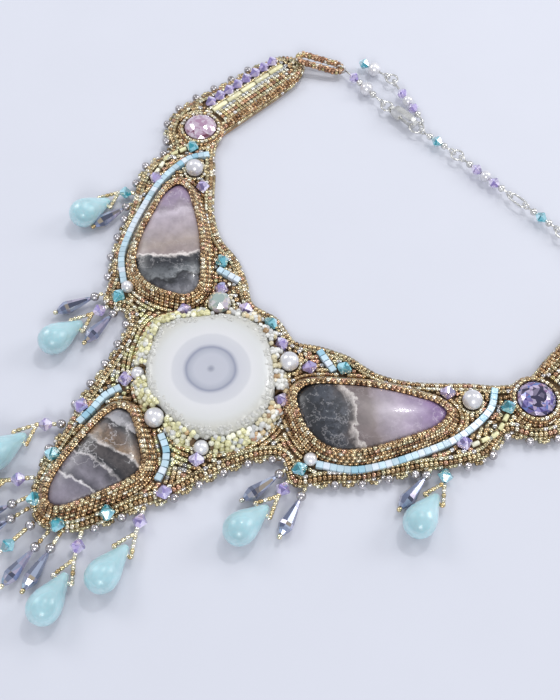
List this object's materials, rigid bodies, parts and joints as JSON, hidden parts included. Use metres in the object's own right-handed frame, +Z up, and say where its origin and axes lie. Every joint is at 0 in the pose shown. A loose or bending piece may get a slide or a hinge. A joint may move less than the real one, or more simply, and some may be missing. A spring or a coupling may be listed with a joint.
{
  "type": "bib necklace",
  "caption": "Bead-embroidered bib collar with domed stones, bead fringe and glass drops, closed by a beaded chain with a lobster clasp.",
  "frame": {"origin": "on the resting surface below the middle of the round quartz slice", "axes": "+Y from the pendant towards the clasp, +X towards the right-hand arm as seen from above, +Z up off the surface that it lies on"},
  "size_m": [0.1738, 0.2332, 0.0096],
  "materials": {
    "leather": "natural tan suede, matte",
    "bronze_beads": "metallic bronze seed beads",
    "gold_beads": "galvanised gold seed beads",
    "cream_beads": "pale lemon-cream opaque seed beads",
    "agate": "polished banded agate",
    "quartz": "milky translucent, druzy rim",
    "pink_crystal": "foiled pink-lilac cut crystal",
    "blue_crystal": "foiled violet-blue cut crystal",
    "violet_crystal": "cut violet crystal",
    "pearl": "silver-white pearl coating",
    "aqua_glass": "opaque aqua glass, polished",
    "silver_plate": "silver plated, polished"
  },
  "bodies": {
    "necklace": {"backing": "leather", "bead_carpet": "bronze_beads", "bezel_left": "gold_beads", "bezel_pendant": "gold_beads", "bezel_right": "gold_beads", "bicone_row_left": "violet_crystal", "bicone_row_right": "violet_crystal", "bugle_row_left": "cream_beads", "bugle_row_right": "cream_beads", "cabochon_left": "agate", "cabochon_pendant": "agate", "cabochon_right": "agate", "clasp_body": "silver_plate", "crystal_bezel_left": "bronze_beads", "crystal_bezel_right": "bronze_beads", "crystal_left": "pink_crystal", "crystal_right": "blue_crystal", "drop_arm_inner_left_2": "aqua_glass", "drop_arm_inner_right_2": "aqua_glass", "drop_arm_outer_left_1": "aqua_glass", "drop_arm_outer_right_1": "aqua_glass", "drop_pendant_left_1": "aqua_glass", "drop_pendant_left_2": "aqua_glass", "drop_pendant_right_1": "aqua_glass", "drop_pendant_right_2": "aqua_glass", "drop_point_1": "aqua_glass", "fire_bead": "pink_crystal", "fringe_arm_inner_left": "gold_beads", "fringe_arm_inner_right": "gold_beads", "fringe_arm_outer_left": "gold_beads", "fringe_arm_outer_right": "gold_beads", "fringe_pendant_left": "gold_beads", "fringe_pendant_right": "gold_beads", "fringe_point": "gold_beads", "link_aqua_left": "silver_plate", "link_aqua_right": "silver_plate", "link_lilac": "silver_plate", "loop_left": "gold_beads", "loop_right": "gold_beads", "pearl_slice_left": "pearl", "pearl_slice_lower": "pearl", "pearl_slice_right": "pearl", "pearl_slice_upper": "pearl", "pearl_tip_left": "pearl", "pearl_tip_right": "pearl", "quartz_slice": "quartz", "ring_clasp": "silver_plate", "ring_left": "silver_plate", "ring_middle": "silver_plate", "ring_oval": "silver_plate", "ring_right": "silver_plate", "ring_tail": "silver_plate", "slice_surround": "cream_beads", "strap_roll_left": "bronze_beads", "strap_roll_right": "bronze_beads", "string_left": "silver_plate", "string_right": "silver_plate", "tail_end": "pearl", "tail_link": "silver_plate"},
    "trigger": {"clasp_trigger": "silver_plate"}
  },
  "joints": [
    {"name": "clasp_trigger_hinge", "type": "hinge", "parent": "necklace", "child": "trigger", "pos_m": [-0.03041, 0.1193, 0.0018], "axis": [0, -1, 0], "range_deg": [0, 20], "stiffness_Nm_per_rad": 0.002, "springref_deg": -5.73}
  ]
}
